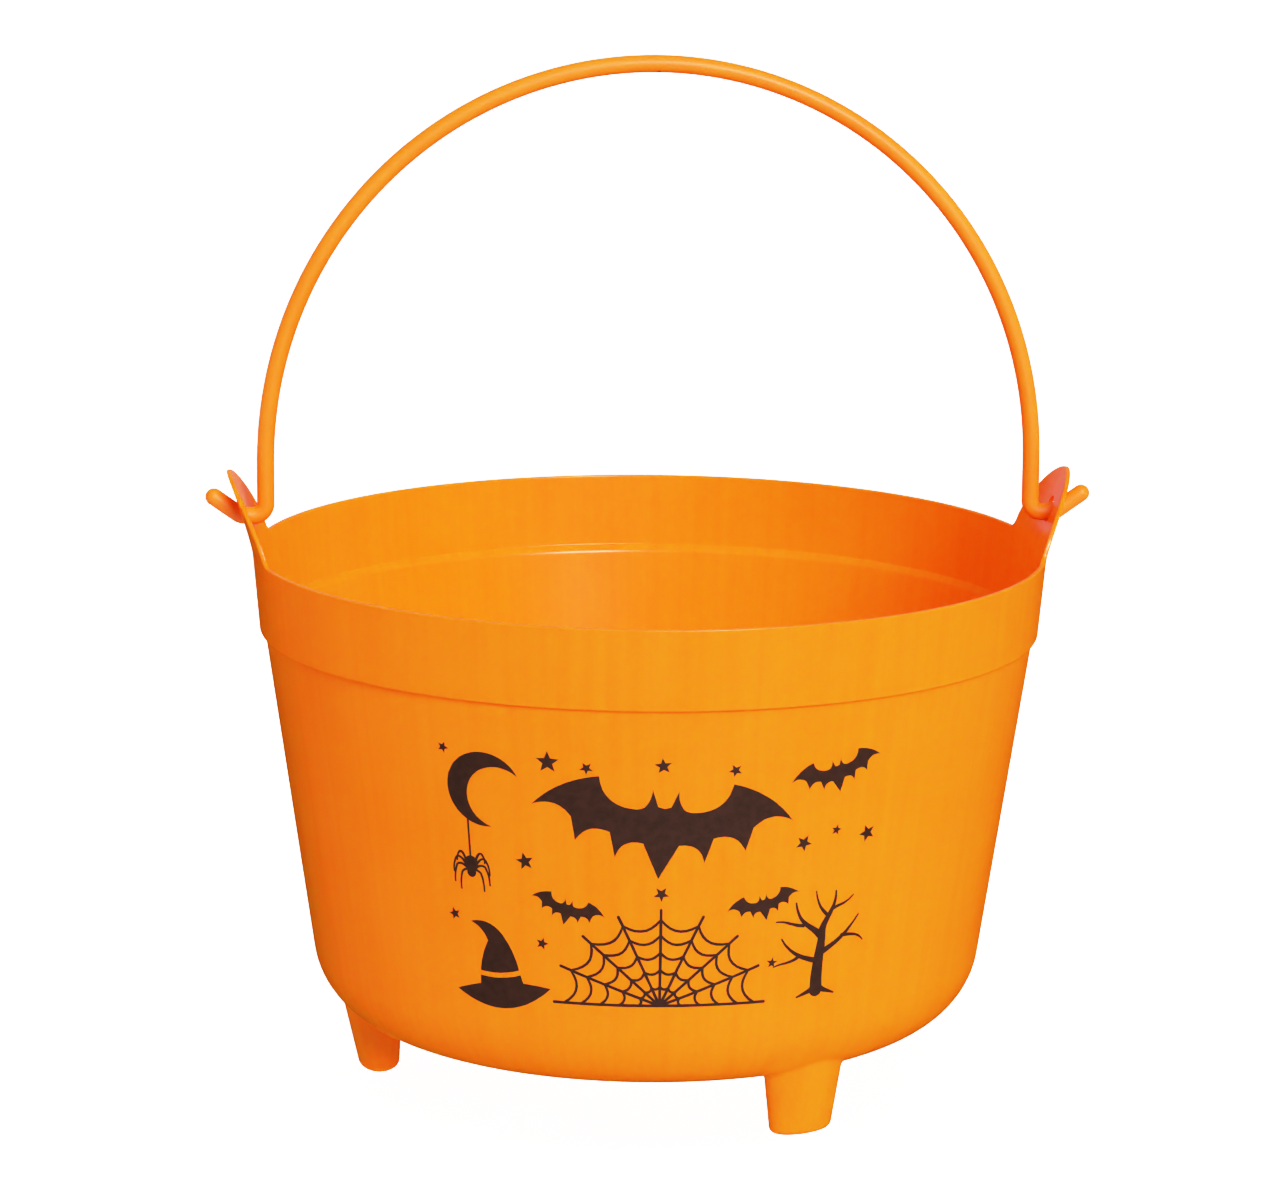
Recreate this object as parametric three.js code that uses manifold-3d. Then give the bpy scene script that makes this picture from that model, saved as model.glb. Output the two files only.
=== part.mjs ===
// A witch cauldron for carrying sweets, in orange moulded plastic. Millimetres, +Z up, standing on z = 0.
// It is two mouldings. The pot is one thin shell: a drafted wall with a stepped-out band under the rim, a rounded
// bottom corner, a flat floor, three hollow oval feet and two flared ears with a hole in each. The bail is one round
// rod, with both ends bent out through the ear holes and turned up, and it swings about the line through the holes.
// The ears are at +X and -X, one foot is under the ear at -X, and -Y is the front.
import * as THREE from "three";
import { mergeVertices } from "three/addons/utils/BufferGeometryUtils.js";
import Module from "manifold-3d";

const wasm = await Module();
wasm.setup();

const radians = THREE.MathUtils.degToRad;

// Pot shell
const rimRadius = 100; // outside, at the top edge
const wallThickness = 1.2;
const floorThickness = 1.4;
const potDepth = 120; // underside of the floor up to the rim
const bandHeight = 20; // the stepped-out band under the rim
const bandDraft = radians(5.2);
const shoulderStep = 1.2; // how far the band stands out from the wall below it
const shoulderRamp = 1.8; // height over which the inside follows that step, as a slope
const wallDraft = radians(8.4);
const cornerRadius = 20.5; // outside, between wall and floor

// Feet
const footCount = 3;
const footHeight = 15; // ground up to the underside of the floor
const footInset = 14; // from the wall's line, where it would reach the floor, in to a foot's centre on the ground
const footHalfLength = 8.5; // along the wall, on the ground
const footHalfWidth = 5.1; // square to the wall, on the ground
const footOuterDraft = radians(13.3);
const footInnerDraft = radians(2.5);
const footEndDraft = radians(7);
const footEdgeRadius = 1.5;
const footSoleThickness = 1.6;
const firstFootAngle = 180; // in degrees: under the ear at -X

// Ears
const earHalfWidth = 24;
const earLandBelowHole = 6;
const earLandAboveHole = 7.6;
const earRootFlare = radians(14); // how far the ear leans out where it leaves the rim
const earTipFlare = radians(21);
const earRootFillet = 3; // hollow curve between the ear's edge and the rim
const earExponent = 1.75; // of the superellipse that outlines the ear: 2 would make it an ellipse

// Bail
const rodRadius = 2.2;
const rodHoleClearance = 1; // ear hole radius over rod radius
const rodSeatGap = 0.3; // under the rod, where it rests in the ear hole
const legHeight = 13.6; // pivot line up to where the arch starts
const archHeight = 99.8; // of the half ellipse that the middle of the rod follows
const legEarClearance = 0.3; // between a leg and the inside of an ear, with the bail laid flat
const legBendInside = 0.8; // inside radius of the bend from leg to pin
const hookBendInside = 0.8; // inside radius of the bend from pin to upturned end
const hookAngle = radians(35.4); // of the upturned end over the pin
const hookLength = 7.3; // of its straight run

// Fineness
const potSides = 96;
const cornerSteps = 7;
const flareSteps = 3;
const footSides = 28;
const footEdgeSteps = 3;
const earSteps = 16;
const earRootSteps = 4;
const holeSides = 28;
const rodSides = 12;
const archSteps = 20;
const legBendSteps = 6;
const hookBendSteps = 3;
const rodEndSteps = 4;
const cutterMargin = 5; // how far a cutter runs past what it cuts

// Heights above the ground
const floorZ = footHeight;
const rimZ = floorZ + potDepth;
const shoulderZ = rimZ - bandHeight;
const earHoleRadius = rodRadius + rodHoleClearance;
const holeZ = rimZ + earLandBelowHole + earHoleRadius;
const earHeight = holeZ - rimZ + earHoleRadius + earLandAboveHole;
const pivotZ = holeZ - rodHoleClearance + rodSeatGap;
const aboveEarsZ = rimZ + earHeight + cutterMargin;

// Outside radii
const wallTopRadius = rimRadius - bandHeight * Math.tan(bandDraft) - shoulderStep;
const wallRadius = (z) => wallTopRadius - (shoulderZ - z) * Math.tan(wallDraft);
const bandRadius = (z) => rimRadius - (rimZ - z) * Math.tan(bandDraft);
const footCircleRadius = wallRadius(floorZ) - footInset;

// Outside radius of the flared collar that the ears are cut from. It leans out more and more up to the ears' tips.
function earRadius(z) {
  const rise = z - rimZ;
  const root = Math.tan(earRootFlare);
  const tip = Math.tan(earTipFlare);
  const curved = Math.min(rise, earHeight);
  return rimRadius + curved * root + (curved ** 2 * (tip - root)) / (2 * earHeight) + (rise - curved) * tip;
}

// Half the width of an ear at a height.
function earHalfWidthAt(z) {
  const share = (z - rimZ) / earHeight;
  return earHalfWidth * (1 - share ** earExponent) ** (1 / earExponent);
}

// A closed geometry as a solid: only positions are kept, and vertices in one place become one.
function solidOf(geometry) {
  const bare = geometry.index ? geometry.toNonIndexed() : geometry.clone();
  bare.deleteAttribute("normal");
  bare.deleteAttribute("uv");
  const merged = mergeVertices(bare, 1e-4);
  const triangles = [];
  for (let i = 0; i < merged.index.count; i += 3) {
    const corners = merged.index.array.slice(i, i + 3);
    if (new Set(corners).size === 3) triangles.push(...corners);
  }
  return new wasm.Manifold(
    new wasm.Mesh({
      numProp: 3,
      vertProperties: merged.attributes.position.array,
      triVerts: new Uint32Array(triangles),
    }),
  );
}

function meshOf(name, solid, material) {
  const { vertProperties, triVerts } = solid.getMesh();
  const geometry = new THREE.BufferGeometry();
  geometry.setAttribute("position", new THREE.BufferAttribute(vertProperties, 3));
  geometry.setIndex(new THREE.BufferAttribute(triVerts, 1));
  geometry.computeVertexNormals();
  const mesh = new THREE.Mesh(geometry, material);
  mesh.name = name;
  return mesh;
}

const joined = (solids) => solids.reduce((all, solid) => all.add(solid));

// The space inside the pot's outline, or inside its inner face when inset is the wall's thickness. The step between
// band and wall rises by ramp. Above the rim the space is the flared collar that the ears are cut from.
function potSpace(inset, bottomZ, ramp, topZ) {
  const face = (z) => wallRadius(z) - inset / Math.cos(wallDraft);
  const radius = cornerRadius - inset;
  const arcZ = bottomZ + radius;
  const arcCentre = face(arcZ) - radius / Math.cos(wallDraft);
  const profile = [[0, bottomZ]];
  for (let i = 0; i <= cornerSteps; i += 1) {
    const angle = (Math.PI / 2 - wallDraft) * (i / cornerSteps);
    profile.push([arcCentre + radius * Math.sin(angle), arcZ - radius * Math.cos(angle)]);
  }
  const stepZ = shoulderZ + inset / 2;
  profile.push([face(stepZ - ramp / 2), stepZ - ramp / 2]);
  profile.push([bandRadius(stepZ + ramp / 2) - inset, stepZ + ramp / 2]);
  for (let i = 0; i <= flareSteps; i += 1) {
    const z = rimZ + earHeight * (i / flareSteps);
    profile.push([earRadius(z) - inset, z]);
  }
  profile.push([earRadius(topZ) - inset, topZ]);
  profile.push([0, topZ]);
  const points = profile.map(([r, z]) => new THREE.Vector2(r, z));
  return solidOf(new THREE.LatheGeometry(points, potSides).rotateX(Math.PI / 2));
}

// Rings of points, each counter-clockwise from above, closed into one skin from the lowest to the highest.
function skinned(rings) {
  const sides = rings[0].length;
  const points = rings.flat();
  const topStart = points.length - sides;
  const index = [];
  for (let i = 1; i < sides - 1; i += 1) {
    index.push(0, i + 1, i);
    index.push(topStart, topStart + i, topStart + i + 1);
  }
  for (let low = 0; low < topStart; low += sides) {
    for (let i = 0; i < sides; i += 1) {
      const next = (i + 1) % sides;
      index.push(low + i, low + next, low + sides + next);
      index.push(low + i, low + sides + next, low + sides + i);
    }
  }
  return new THREE.BufferGeometry().setFromPoints(points).setIndex(index);
}

// All the feet, or the hollows inside them when inset is the wall's thickness. Each is an oval that widens upwards,
// more on its outer side than on its inner side, and the edge round its bottom is rounded.
function feet(inset, bottomZ, topZ) {
  const oval = (z, shrink) => {
    const outer = footHalfWidth + z * Math.tan(footOuterDraft) - inset - shrink;
    const inner = footHalfWidth + z * Math.tan(footInnerDraft) - inset - shrink;
    const end = footHalfLength + z * Math.tan(footEndDraft) - inset - shrink;
    return Array.from({ length: footSides }, (_, i) => {
      const angle = (2 * Math.PI * i) / footSides;
      const across = Math.cos(angle) > 0 ? outer : inner;
      return new THREE.Vector3(footCircleRadius + across * Math.cos(angle), end * Math.sin(angle), z);
    });
  };
  const edge = Math.min(footEdgeRadius, footHalfWidth - inset);
  const rings = [];
  for (let i = 0; i <= footEdgeSteps; i += 1) {
    const angle = (Math.PI / 2) * (i / footEdgeSteps);
    rings.push(oval(bottomZ + edge * (1 - Math.cos(angle)), edge * (1 - Math.sin(angle))));
  }
  rings.push(oval(topZ, 0));
  const one = solidOf(skinned(rings));
  const turns = Array.from({ length: footCount }, (_, i) => firstFootAngle + (360 * i) / footCount);
  return joined(turns.map((degrees) => one.rotate([0, 0, degrees])));
}

// What is kept of the pot, seen along X: everything up to the rim, and an ear's outline above it.
function potOutline() {
  const side = rimRadius + cutterMargin;
  const filletTopZ = rimZ + earRootFillet;
  const filletFoot = earHalfWidthAt(filletTopZ) + earRootFillet;
  const half = [
    [side, -cutterMargin],
    [side, rimZ],
  ];
  for (let i = 0; i < earRootSteps; i += 1) {
    const angle = (Math.PI / 2) * (i / earRootSteps);
    half.push([filletFoot - earRootFillet * Math.sin(angle), filletTopZ - earRootFillet * Math.cos(angle)]);
  }
  const start = Math.asin((earRootFillet / earHeight) ** (earExponent / 2));
  for (let i = 0; i < earSteps; i += 1) {
    const angle = start + (Math.PI / 2 - start) * (i / earSteps);
    half.push([
      earHalfWidth * Math.cos(angle) ** (2 / earExponent),
      rimZ + earHeight * Math.sin(angle) ** (2 / earExponent),
    ]);
  }
  const otherHalf = half.map(([y, z]) => [-y, z]).reverse();
  const outline = [...half, [0, rimZ + earHeight], ...otherHalf];
  const shape = new THREE.Shape(outline.map(([y, z]) => new THREE.Vector2(y, z)));
  const reach = earRadius(aboveEarsZ);
  const block = new THREE.ExtrudeGeometry(shape, { depth: 2 * reach, bevelEnabled: false });
  return solidOf(block.translate(0, 0, -reach).rotateX(Math.PI / 2).rotateZ(Math.PI / 2));
}

function earHoles() {
  const reach = earRadius(aboveEarsZ);
  const drill = new THREE.CylinderGeometry(earHoleRadius, earHoleRadius, 2 * reach, holeSides);
  return solidOf(drill.rotateZ(Math.PI / 2).translate(0, 0, holeZ));
}

// The feet and their hollows reach up into the rounded corner, well inside the pot's outline.
function potSolid() {
  const footTopZ = floorZ + cornerRadius / 2;
  const body = potSpace(0, floorZ, 0, aboveEarsZ).add(feet(0, 0, footTopZ));
  const floorTopZ = floorZ + floorThickness;
  const inside = potSpace(wallThickness, floorTopZ, shoulderRamp, aboveEarsZ + cutterMargin);
  const hollows = feet(wallThickness, footSoleThickness, footTopZ);
  return body.subtract(inside).subtract(hollows).intersect(potOutline()).subtract(earHoles());
}

// A line in the XZ plane through given points, which are also the places where the rod along it has its sections.
class RodLine extends THREE.Curve {
  constructor(points) {
    super();
    this.points = points;
  }

  getPointAt(share) {
    const point = this.points[Math.round(share * (this.points.length - 1))];
    return new THREE.Vector3(point.x, 0, point.y);
  }

  getTangentAt(share) {
    const last = this.points.length - 1;
    const i = Math.round(share * last);
    const heading = (from) => this.points[from + 1].clone().sub(this.points[from]).normalize();
    const sum = heading(Math.max(0, i - 1)).add(heading(Math.min(last - 1, i)));
    return new THREE.Vector3(sum.x, 0, sum.y).normalize();
  }
}

// Half the bail's middle line, from the end of the upturned hook at +X to the top of the arch.
function halfBailLine() {
  const flankY = earHalfWidthAt(pivotZ);
  const flankX = Math.sqrt((earRadius(pivotZ) - wallThickness) ** 2 - flankY ** 2);
  const legX = flankX - legEarClearance - rodRadius;
  const pinEndX = earRadius(pivotZ) - wallThickness / 2;
  const legBend = rodRadius + legBendInside;
  const hookBend = rodRadius + hookBendInside;
  const down = -Math.PI / 2;
  const hook = new THREE.EllipseCurve(
    pinEndX, pivotZ + hookBend, hookBend, hookBend, down + hookAngle, down, true,
  );
  const bend = new THREE.EllipseCurve(
    legX + legBend, pivotZ + legBend, legBend, legBend, down, -Math.PI, true,
  );
  const arch = new THREE.EllipseCurve(0, pivotZ + legHeight, legX, archHeight, 0, Math.PI / 2);
  const upturn = new THREE.Vector2(hookLength, 0).rotateAround(new THREE.Vector2(), hookAngle);
  return [
    hook.getPoint(0).add(upturn),
    ...hook.getPoints(hookBendSteps),
    ...bend.getPoints(legBendSteps),
    ...arch.getPoints(archSteps),
  ];
}

// A ball on the end of the rod, whose meridians run on from the rod's own facets.
function rodEnd(line, share) {
  const along = line.getTangentAt(share);
  const aside = new THREE.Vector3(0, 1, 0);
  const ball = new THREE.SphereGeometry(rodRadius, rodSides, rodEndSteps);
  const frame = new THREE.Matrix4().makeBasis(aside, along, aside.clone().cross(along));
  return solidOf(ball.applyMatrix4(frame.setPosition(line.getPointAt(share))));
}

function bailSolid() {
  const half = halfBailLine();
  const otherHalf = half.slice(0, -1).map((p) => new THREE.Vector2(-p.x, p.y));
  const line = new RodLine([...half, ...otherHalf.reverse()]);
  const section = Array.from({ length: rodSides }, (_, i) => {
    const angle = (2 * Math.PI * i) / rodSides;
    return new THREE.Vector2(rodRadius * Math.cos(angle), rodRadius * Math.sin(angle));
  });
  const steps = line.points.length - 1;
  const rod = new THREE.ExtrudeGeometry(new THREE.Shape(section), { steps, extrudePath: line });
  return joined([solidOf(rod), rodEnd(line, 0), rodEnd(line, 1)]);
}

const potPlastic = new THREE.MeshStandardMaterial({ color: "#f5780f", roughness: 0.4, metalness: 0 });
const bailPlastic = new THREE.MeshStandardMaterial({ color: "#f67c14", roughness: 0.35, metalness: 0 });

const cauldron = new THREE.Group();
cauldron.name = "witch_cauldron";
cauldron.add(meshOf("cauldron_pot", potSolid(), potPlastic));
cauldron.add(meshOf("bail_handle", bailSolid(), bailPlastic));

export default cauldron;
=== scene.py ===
import math

import bmesh
import bpy
import numpy as np
from mathutils import Matrix, Vector, noise
from mathutils.geometry import delaunay_2d_cdt


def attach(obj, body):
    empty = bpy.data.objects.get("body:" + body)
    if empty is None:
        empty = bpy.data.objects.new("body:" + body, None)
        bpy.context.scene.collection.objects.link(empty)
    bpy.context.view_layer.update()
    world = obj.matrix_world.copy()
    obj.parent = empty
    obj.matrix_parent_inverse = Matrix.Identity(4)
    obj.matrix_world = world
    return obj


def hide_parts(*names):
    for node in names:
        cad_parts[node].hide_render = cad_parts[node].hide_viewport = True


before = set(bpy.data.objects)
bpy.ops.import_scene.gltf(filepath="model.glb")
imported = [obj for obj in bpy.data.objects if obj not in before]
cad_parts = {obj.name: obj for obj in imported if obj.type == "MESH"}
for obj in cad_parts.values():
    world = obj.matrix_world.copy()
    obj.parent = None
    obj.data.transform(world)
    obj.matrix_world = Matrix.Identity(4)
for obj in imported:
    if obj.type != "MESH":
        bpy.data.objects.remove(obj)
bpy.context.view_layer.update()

METRES = 0.001

# Pot shell, as in the solid model
RIM_RADIUS = 100
WALL = 1.2
FLOOR = 1.4
POT_DEPTH = 120
BAND_HEIGHT = 20
BAND_SLOPE = math.tan(math.radians(5.2))
SHOULDER_STEP = 1.2
SHOULDER_RAMP = 1.6
WALL_DRAFT = math.radians(8.4)
CORNER_RADIUS = 20.5

# Feet
FOOT_HEIGHT = 15
FOOT_INSET = 14
FOOT_HALF_LENGTH = 8.5
FOOT_HALF_WIDTH = 5.1
FOOT_OUTER_SLOPE = math.tan(math.radians(13.3))
FOOT_INNER_SLOPE = math.tan(math.radians(2.5))
FOOT_END_SLOPE = math.tan(math.radians(7))
FOOT_EDGE = 1.5
FOOT_SOLE = 1.6
FOOT_ANGLES = (180, 300, 60)

# Ears
EAR_HALF_WIDTH = 24
EAR_LAND_BELOW = 6
EAR_LAND_ABOVE = 7.6
EAR_ROOT_SLOPE = math.tan(math.radians(14))
EAR_TIP_SLOPE = math.tan(math.radians(21))
EAR_ROOT_FILLET = 3
EAR_EXPONENT = 1.75

# Bail
ROD_RADIUS = 2.2
ROD_HOLE_CLEARANCE = 1
ROD_SEAT_GAP = 0.3
LEG_HEIGHT = 13.6
ARCH_HEIGHT = 99.8
LEG_EAR_CLEARANCE = 0.3
BEND_INSIDE = 0.8
HOOK_ANGLE = math.radians(35.4)
HOOK_LENGTH = 7.25

# Heights and radii that follow from those
FLOOR_Z = FOOT_HEIGHT
RIM_Z = FLOOR_Z + POT_DEPTH
SHOULDER_Z = RIM_Z - BAND_HEIGHT
HOLE_RADIUS = ROD_RADIUS + ROD_HOLE_CLEARANCE
HOLE_Z = RIM_Z + EAR_LAND_BELOW + HOLE_RADIUS
EAR_HEIGHT = HOLE_Z - RIM_Z + HOLE_RADIUS + EAR_LAND_ABOVE
PIVOT_Z = HOLE_Z - ROD_HOLE_CLEARANCE + ROD_SEAT_GAP
WALL_TOP_RADIUS = RIM_RADIUS - BAND_HEIGHT * BAND_SLOPE - SHOULDER_STEP

# Small roundings that the solid model leaves sharp
LIP_ROUNDING = 0.42
HOLE_ROUNDING = 0.3
BAND_EDGE_ROUNDING = 0.35
BAND_CORNER_FILLET = 0.25
LEDGE_ROUNDING = 0.6
LEDGE_CORNER_FILLET = 0.15
FOOT_FILLET = 1.0
EAR_ROOT_BLEND = 1.5

# Fineness of the skins
RIM_COLUMNS = 118
TOP_ROWS = 28
EAR_STEP = 1.0
TOP_ROWS_FROM_Z = RIM_Z - 5
WALL_STEP = 3.5
ARC_STEP = 1.4
FLOOR_STEP = 3.2
CORNER_STEPS = 5
CORNER_GUARD = 0.3

# The blocks that are cut out of the skins' grid, for an ear's hole and for a foot
HOLE_BLOCK_HALF_WIDTH = 1.95 * HOLE_RADIUS
HOLE_BLOCK_HALF_HEIGHT = 1.8 * HOLE_RADIUS
FOOT_BLOCK_OUTER = 81.7
FOOT_BLOCK_INNER = 57.5
FOOT_BLOCK_HALF_TURN = math.radians(12.6)
ROWS_ABOVE_FOOT_BLOCK = TOP_ROWS + 12


def wall_radius(z):
    return WALL_TOP_RADIUS - (SHOULDER_Z - z) * math.tan(WALL_DRAFT)


def band_radius(z):
    return RIM_RADIUS - (RIM_Z - z) * BAND_SLOPE


def ear_radius(z):
    rise = z - RIM_Z
    flare = (EAR_TIP_SLOPE - EAR_ROOT_SLOPE) / (2 * EAR_HEIGHT)
    return RIM_RADIUS + rise * EAR_ROOT_SLOPE + rise**2 * flare


def ear_half_width(z):
    share = (z - RIM_Z) / EAR_HEIGHT
    return EAR_HALF_WIDTH * (1 - share**EAR_EXPONENT) ** (1 / EAR_EXPONENT)


FOOT_CIRCLE = wall_radius(FLOOR_Z) - FOOT_INSET


def bezier(points, steps):
    """The points of a quadratic or cubic curve, ends included, as an array with one row for each step."""
    ts = np.linspace(0, 1, steps + 1)
    n = len(points) - 1
    weights = [math.comb(n, i) * ts**i * (1 - ts) ** (n - i) for i in range(n + 1)]
    return sum(np.multiply.outer(w, np.asarray(p, float)) for w, p in zip(weights, points))


def rounded_profile(corners, spacing):
    """Straight runs through corners (radius, height, leg), each rounded off over its leg on both sides."""
    rows = []
    for i, (r, z, leg) in enumerate(corners):
        here = np.array([r, z])
        if leg:
            before = np.array(corners[i - 1][:2]) - here
            after = np.array(corners[i + 1][:2]) - here
            start = here + before / np.linalg.norm(before) * leg
            end = here + after / np.linalg.norm(after) * leg
            rows.append(bezier([start, here, end], CORNER_STEPS))
        else:
            rows.append(here[None])
    whole = [rows[0]]
    for previous, following in zip(rows, rows[1:]):
        a, b = previous[-1], following[0]
        length = np.linalg.norm(b - a)
        guard = min(CORNER_GUARD, length / 4)
        count = max(1, round((length - 2 * guard) / spacing))
        inner = np.linspace(guard, length - guard, count + 1)
        whole.append(a + (b - a) * (inner / length)[:, None])
        whole.append(following)
    return np.concatenate(whole)


class Face:
    """One face of the shell: the outside has inset 0, and the inside WALL. Ramp is its ledge's height."""

    def __init__(self, inset, bottom_z, ramp):
        self.inset = inset
        self.bottom_z = bottom_z
        self.arc_radius = CORNER_RADIUS - inset
        self.arc_z = bottom_z + self.arc_radius
        self.wall_inset = inset / math.cos(WALL_DRAFT)
        self.arc_centre = wall_radius(self.arc_z) - self.wall_inset - self.arc_radius / math.cos(WALL_DRAFT)
        self.step_z = SHOULDER_Z + inset / 2
        self.ramp = ramp

    def radius_above(self, z, ear):
        """Radius over the band and the ears. ear is 1 on an ear, where the bend is soft, and 0 elsewhere."""
        sharp = np.where(z <= RIM_Z, band_radius(z), ear_radius(z))
        t = np.clip((z - RIM_Z) / (2 * EAR_ROOT_BLEND) + 0.5, 0, 1)
        low, high = band_radius(RIM_Z - EAR_ROOT_BLEND), ear_radius(RIM_Z + EAR_ROOT_BLEND)
        soft = (1 - t) ** 2 * low + 2 * t * (1 - t) * RIM_RADIUS + t**2 * high
        soft = np.where((t > 0) & (t < 1), soft, sharp)
        return sharp + (soft - sharp) * ear - self.inset

    def height(self, radius):
        """Height of the floor or the rounded corner at a radius."""
        out = np.maximum(0, radius - self.arc_centre)
        return self.arc_z - np.sqrt(self.arc_radius**2 - out**2)

    def lower_profile(self, centre):
        """From under the ears' rows down the band and the wall, round the corner and in to the middle."""
        step = self.step_z
        upper = [band_radius(step + self.ramp / 2) - self.inset, step + self.ramp / 2]
        lower = [wall_radius(step - self.ramp / 2) - self.wall_inset, step - self.ramp / 2]
        if self.ramp:
            upper_leg, lower_leg = LEDGE_CORNER_FILLET, LEDGE_ROUNDING
        else:
            upper_leg, lower_leg = BAND_EDGE_ROUNDING, BAND_CORNER_FILLET
        turn = math.pi / 2 - WALL_DRAFT
        arc_top = [
            self.arc_centre + self.arc_radius * math.sin(turn),
            self.arc_z - self.arc_radius * math.cos(turn),
        ]
        start = [band_radius(TOP_ROWS_FROM_Z) - self.inset, TOP_ROWS_FROM_Z]
        corners = [(*start, 0), (*upper, upper_leg), (*lower, lower_leg), (*arc_top, 0)]
        walls = rounded_profile(corners, WALL_STEP)
        angles = np.linspace(turn, 0, round(self.arc_radius * turn / ARC_STEP) + 1)[1:]
        arc_radii = self.arc_centre + self.arc_radius * np.sin(angles)
        arc_heights = self.arc_z - self.arc_radius * np.cos(angles)
        arc = np.stack([arc_radii, arc_heights], -1)
        first = centre[0][0]
        count = round((self.arc_centre - first) / FLOOR_STEP)
        radii = np.linspace(self.arc_centre, first, count + 1)[1:-1]
        floor = np.stack([radii, np.full(len(radii), self.bottom_z)], -1)
        middle = np.array([[r, self.bottom_z + rise] for r, rise in centre], float)
        return np.concatenate([walls, arc, floor, middle])


OUTSIDE = Face(0, FLOOR_Z, 0)
INSIDE = Face(WALL, FLOOR_Z + FLOOR, SHOULDER_RAMP)

# The middle of the floor as (radius, rise): the cut-off sprue in its dish underneath, a plain face inside
SPRUE_DISH = [
    (6.6, 0), (6.2, 0.06), (5.4, 0.3), (4.9, 0.35), (1.9, 0.35), (1.6, 0.3),
    (1.35, -0.2), (1.1, -0.32), (0.4, -0.36),
]
PLAIN_MIDDLE = [(6, 0), (3, 0), (1, 0)]


class Skin:
    """Vertices and faces of one mesh, gathered ring by ring, in millimetres."""

    def __init__(self):
        self.points = []
        self.faces = []
        self.count = 0

    def add(self, points):
        points = np.asarray(points, float).reshape(-1, 3)
        ids = np.arange(self.count, self.count + len(points))
        self.points.append(points)
        self.count += len(points)
        return ids

    def bridge(self, one, other, closed=True):
        """Quads between two rows of vertices that are equally long."""
        one, other = np.asarray(one), np.asarray(other)
        if closed:
            one_next, other_next = np.roll(one, -1), np.roll(other, -1)
        else:
            one, one_next = one[:-1], one[1:]
            other, other_next = other[:-1], other[1:]
        self.faces.extend(np.stack([one, one_next, other_next, other], -1).tolist())

    def fan(self, ring, centre):
        tip = int(self.add(centre)[0])
        ring = np.asarray(ring)
        self.faces.extend([[int(a), int(b), tip] for a, b in zip(ring, np.roll(ring, -1))])

    def rings(self, start, rings):
        """Goes on from the vertices in start through rings of points, and returns the last ring's."""
        for ring in rings:
            ids = self.add(ring)
            self.bridge(start, ids)
            start = ids
        return start

    def sheet(self, points, blocks):
        """A grid of quads, closed round its columns, without what lies inside each block, which is two rows
        and two columns. Returns the grid's vertices and each block's border as a loop of (row, column)."""
        rows, columns = points.shape[:2]
        kept = np.ones((rows, columns), bool)
        whole = np.ones((rows - 1, columns), bool)
        borders = []
        for top, bottom, first, last in blocks:
            across = np.arange(first, last + 1) % columns
            kept[np.ix_(np.arange(top + 1, bottom), across[1:-1])] = False
            whole[np.ix_(np.arange(top, bottom), across[:-1])] = False
            border = [(top, c) for c in across[:-1]]
            border += [(r, across[-1]) for r in range(top, bottom)]
            border += [(bottom, c) for c in across[:0:-1]]
            border += [(r, across[0]) for r in range(bottom, top, -1)]
            borders.append(np.array(border))
        ids = np.full((rows, columns), -1)
        ids[kept] = self.add(points[kept])
        following = np.roll(ids, -1, 1)
        quads = np.stack([ids[:-1], following[:-1], following[1:], ids[1:]], -1)
        self.faces.extend(quads[whole].tolist())
        return ids, borders

    def object(self, name):
        mesh = bpy.data.meshes.new(name)
        mesh.from_pydata((np.concatenate(self.points) * METRES).tolist(), [], self.faces)
        tidy = bmesh.new()
        tidy.from_mesh(mesh)
        bmesh.ops.recalc_face_normals(tidy, faces=tidy.faces)
        if tidy.calc_volume(signed=True) < 0:
            bmesh.ops.reverse_faces(tidy, faces=tidy.faces)
        tidy.to_mesh(mesh)
        tidy.free()
        mesh.shade_smooth()
        made = bpy.data.objects.new(name, mesh)
        bpy.context.scene.collection.objects.link(made)
        return made


def ear_outline():
    """One side of an ear's edge as (y, z), from where its fillet leaves the rim up to the tip, and its inward
    directions."""
    fillet_z = RIM_Z + EAR_ROOT_FILLET
    foot_y = ear_half_width(fillet_z) + EAR_ROOT_FILLET
    turns = np.linspace(0, math.pi / 2, 7)[:-1]
    fillet_y = foot_y - EAR_ROOT_FILLET * np.sin(turns)
    fillet = np.stack([fillet_y, fillet_z - EAR_ROOT_FILLET * np.cos(turns)], -1)
    start = math.asin((EAR_ROOT_FILLET / EAR_HEIGHT) ** (EAR_EXPONENT / 2))
    fine = np.linspace(start, math.pi / 2, 2001)
    power = 2 / EAR_EXPONENT
    curve_y = EAR_HALF_WIDTH * np.abs(np.cos(fine)) ** power
    curve = np.stack([curve_y, RIM_Z + EAR_HEIGHT * np.sin(fine) ** power], -1)
    curve[-1] = [0, RIM_Z + EAR_HEIGHT]
    run = np.concatenate([[0], np.cumsum(np.linalg.norm(np.diff(curve, axis=0), axis=1))])
    at = np.linspace(0, run[-1], round(run[-1] / EAR_STEP) + 1)
    outline = np.concatenate([fillet, np.stack([np.interp(at, run, curve[:, i]) for i in (0, 1)], -1)])
    along = np.gradient(outline, axis=0)
    along[0] = [-1, 0]
    along[-1] = [-1, 0]
    inward = np.stack([-along[:, 1], along[:, 0]], -1)
    return outline, inward / np.linalg.norm(inward, axis=1)[:, None]


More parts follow.
